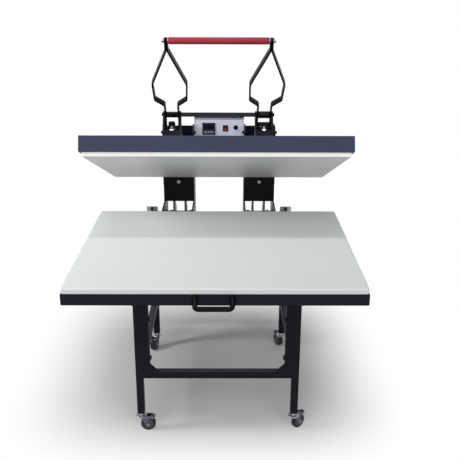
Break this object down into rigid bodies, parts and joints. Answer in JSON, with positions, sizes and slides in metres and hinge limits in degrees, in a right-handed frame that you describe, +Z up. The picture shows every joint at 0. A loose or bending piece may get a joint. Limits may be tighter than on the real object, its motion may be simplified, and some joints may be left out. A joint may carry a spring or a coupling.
{
  "type": "heat press",
  "caption": "Clamshell heat press: heated head on arms with a toggle lever, above a silicone-padded platen that pulls out like a drawer, on a castered tube stand.",
  "frame": {"origin": "floor under the middle of the bounding box", "axes": "+X to the operator's right, +Y to the back, +Z up"},
  "size_m": [1.022, 1.492, 1.624],
  "materials": {
    "stand_paint": "satin dark grey-blue powder coat",
    "machine_paint": "satin black powder coat",
    "frame_paint": "satin near-black powder coat",
    "cover_paint": "fine dark navy-grey powder coat",
    "platen_metal": "ground, with a light grey non-stick coat below",
    "steel": "bright steel",
    "zinc": "zinc plated",
    "chrome": "polished",
    "wadding": "mineral fibre blanket",
    "pad_silicone": "matt pale grey-green silicone",
    "grip_plastic": "crimson, slightly glossy",
    "panel_metal": "satin silver with a lavender cast",
    "black_plastic": "moulded black",
    "display_glass": "dark window",
    "key_plastic": "light grey keys",
    "rocker_red": "red",
    "tyre_rubber": "dark grey rubber tyre on a grey hub"
  },
  "bodies": {
    "stand": {"side_frame_left": "stand_paint", "side_frame_right": "stand_paint", "front_cross_frame": "stand_paint", "rear_cross_frame": "stand_paint", "base_frame": "machine_paint", "guide_rails": "steel", "rail_end_stops": "zinc", "upright_left": "machine_paint", "upright_right": "machine_paint", "machine_bolts": "zinc", "spacer_tubes": "machine_paint", "upright_pins": "machine_paint", "strut_cylinders": "machine_paint", "control_box": "machine_paint", "control_panel": "panel_metal", "controller_case": "black_plastic", "controller_display": "display_glass", "switch_frames": "black_plastic", "power_gland": "black_plastic", "caster_stems": "zinc"},
    "drawer": {"drawer_frame": "frame_paint", "drawer_tray": "frame_paint", "silicone_pad": "pad_silicone", "drawer_handle": "machine_paint", "rail_carriages": "steel"},
    "arms": {"arm_left": "machine_paint", "arm_right": "machine_paint", "tie_bar": "machine_paint", "lever_pivot_bolts": "machine_paint"},
    "head": {"heat_plate": "platen_metal", "heating_elements": "steel", "insulation_blanket": "wadding", "head_cover": "cover_paint", "pressure_posts": "machine_paint"},
    "knob_left": {"pressure_screw_left": "machine_paint"},
    "knob_right": {"pressure_screw_right": "machine_paint"},
    "lever": {"lever_frame_left": "machine_paint", "lever_frame_right": "machine_paint", "grip_rod": "zinc"},
    "grip": {"hand_grip": "grip_plastic"},
    "links": {"toggle_links": "machine_paint"},
    "strut_rods": {"strut_rods": "steel"},
    "rocker": {"rocker_switch": "rocker_red"},
    "button": {"push_button": "black_plastic"},
    "key_set": {"key_set": "key_plastic"},
    "key_down": {"key_down": "key_plastic"},
    "key_up": {"key_up": "key_plastic"},
    "fork_front_left": {"caster_fork_front_left": "zinc"},
    "wheel_front_left": {"caster_wheel_front_left": "tyre_rubber"},
    "brake_front_left": {"caster_brake_front_left": "black_plastic"},
    "fork_front_right": {"caster_fork_front_right": "zinc"},
    "wheel_front_right": {"caster_wheel_front_right": "tyre_rubber"},
    "brake_front_right": {"caster_brake_front_right": "black_plastic"},
    "fork_rear_left": {"caster_fork_rear_left": "zinc"},
    "wheel_rear_left": {"caster_wheel_rear_left": "tyre_rubber"},
    "brake_rear_left": {"caster_brake_rear_left": "black_plastic"},
    "fork_rear_right": {"caster_fork_rear_right": "zinc"},
    "wheel_rear_right": {"caster_wheel_rear_right": "tyre_rubber"},
    "brake_rear_right": {"caster_brake_rear_right": "black_plastic"}
  },
  "joints": [
    {"name": "drawer_slide", "type": "slide", "parent": "stand", "child": "drawer", "axis": [0, 1, 0], "range_m": [0, 0.4]},
    {"name": "head_lift", "type": "hinge", "parent": "stand", "child": "arms", "pos_m": [0, 0.597, 0.851], "axis": [1, 0, 0], "range_deg": [0, 21], "stiffness_Nm_per_rad": 520, "springref_deg": -42.97},
    {"name": "head_height", "type": "slide", "parent": "arms", "child": "head", "axis": [0, 0.3584, 0.9336], "range_m": [0, 0.006]},
    {"name": "lever_swing", "type": "hinge", "parent": "arms", "child": "lever", "pos_m": [0, 0.24707, 1.27882], "axis": [1, 0, 0], "range_deg": [0, 42]},
    {"name": "link_swing", "type": "hinge", "parent": "stand", "child": "links", "pos_m": [0, 0.607, 0.992], "axis": [1, 0, 0], "range_deg": [0, 7.86]},
    {"name": "strut_stroke", "type": "slide", "parent": "stand", "child": "strut_rods", "axis": [0, 0, 1], "range_m": [0, 0.0326]},
    {"name": "grip_spin", "type": "hinge", "parent": "lever", "child": "grip", "pos_m": [0, -0.04895, 1.61107], "axis": [1, 0, 0], "continuous": true},
    {"name": "knob_left_turn", "type": "hinge", "parent": "head", "child": "knob_left", "pos_m": [-0.1964, 0.18111, 1.14882], "axis": [0, 0.3584, 0.9336], "continuous": true},
    {"name": "knob_right_turn", "type": "hinge", "parent": "head", "child": "knob_right", "pos_m": [0.1964, 0.18111, 1.14882], "axis": [0, 0.3584, 0.9336], "continuous": true},
    {"name": "swivel_front_left", "type": "hinge", "parent": "stand", "child": "fork_front_left", "pos_m": [-0.325, -0.195, 0.07], "axis": [0, 0, 1], "continuous": true},
    {"name": "roll_front_left", "type": "hinge", "parent": "fork_front_left", "child": "wheel_front_left", "pos_m": [-0.297, -0.195, 0.0315], "axis": [0, 1, 0], "continuous": true},
    {"name": "pedal_front_left", "type": "hinge", "parent": "fork_front_left", "child": "brake_front_left", "pos_m": [-0.278, -0.195, 0.064], "axis": [0, 1, 0], "range_deg": [0, 12]},
    {"name": "swivel_front_right", "type": "hinge", "parent": "stand", "child": "fork_front_right", "pos_m": [0.325, -0.195, 0.07], "axis": [0, 0, 1], "continuous": true},
    {"name": "roll_front_right", "type": "hinge", "parent": "fork_front_right", "child": "wheel_front_right", "pos_m": [0.34645, -0.177, 0.0315], "axis": [-0.6428, 0.766, 0], "continuous": true},
    {"name": "pedal_front_right", "type": "hinge", "parent": "fork_front_right", "child": "brake_front_right", "pos_m": [0.361, -0.16479, 0.064], "axis": [-0.6428, 0.766, 0], "range_deg": [0, 12]},
    {"name": "swivel_rear_left", "type": "hinge", "parent": "stand", "child": "fork_rear_left", "pos_m": [-0.325, 0.522, 0.07], "axis": [0, 0, 1], "continuous": true},
    {"name": "roll_rear_left", "type": "hinge", "parent": "fork_rear_left", "child": "wheel_rear_left", "pos_m": [-0.33683, 0.49662, 0.0315], "axis": [0.9063, -0.4226, 0], "continuous": true},
    {"name": "pedal_rear_left", "type": "hinge", "parent": "fork_rear_left", "child": "brake_rear_left", "pos_m": [-0.34486, 0.4794, 0.064], "axis": [0.9063, -0.4226, 0], "range_deg": [0, 12]},
    {"name": "swivel_rear_right", "type": "hinge", "parent": "stand", "child": "fork_rear_right", "pos_m": [0.325, 0.522, 0.07], "axis": [0, 0, 1], "continuous": true},
    {"name": "roll_rear_right", "type": "hinge", "parent": "fork_rear_right", "child": "wheel_rear_right", "pos_m": [0.311, 0.54625, 0.0315], "axis": [-0.866, -0.5, 0], "continuous": true},
    {"name": "pedal_rear_right", "type": "hinge", "parent": "fork_rear_right", "child": "brake_rear_right", "pos_m": [0.3015, 0.5627, 0.064], "axis": [-0.866, -0.5, 0], "range_deg": [0, 12]},
    {"name": "rocker_flip", "type": "hinge", "parent": "stand", "child": "rocker", "pos_m": [0.031, 0.649, 1.138], "axis": [1, 0, 0], "range_deg": [0, 16]},
    {"name": "button_press", "type": "slide", "parent": "stand", "child": "button", "axis": [0, 1, 0], "range_m": [0, 0.0025], "stiffness_N_per_m": 600, "springref_m": -0.002},
    {"name": "key_set_press", "type": "slide", "parent": "stand", "child": "key_set", "axis": [0, 1, 0], "range_m": [0, 0.001], "stiffness_N_per_m": 600, "springref_m": -0.001},
    {"name": "key_down_press", "type": "slide", "parent": "stand", "child": "key_down", "axis": [0, 1, 0], "range_m": [0, 0.001], "stiffness_N_per_m": 600, "springref_m": -0.001},
    {"name": "key_up_press", "type": "slide", "parent": "stand", "child": "key_up", "axis": [0, 1, 0], "range_m": [0, 0.001], "stiffness_N_per_m": 600, "springref_m": -0.001}
  ],
  "couplings": [
    {"joint": "lever_swing", "follows": "head_lift", "ratio": 1.9997},
    {"joint": "link_swing", "follows": "head_lift", "ratio": 0.37395},
    {"joint": "strut_stroke", "follows": "head_lift", "m_per_rad": 0.08894},
    {"joint": "knob_left_turn", "follows": "head_height", "rad_per_m": 1570.8},
    {"joint": "knob_right_turn", "follows": "head_height", "rad_per_m": 1570.8}
  ]
}
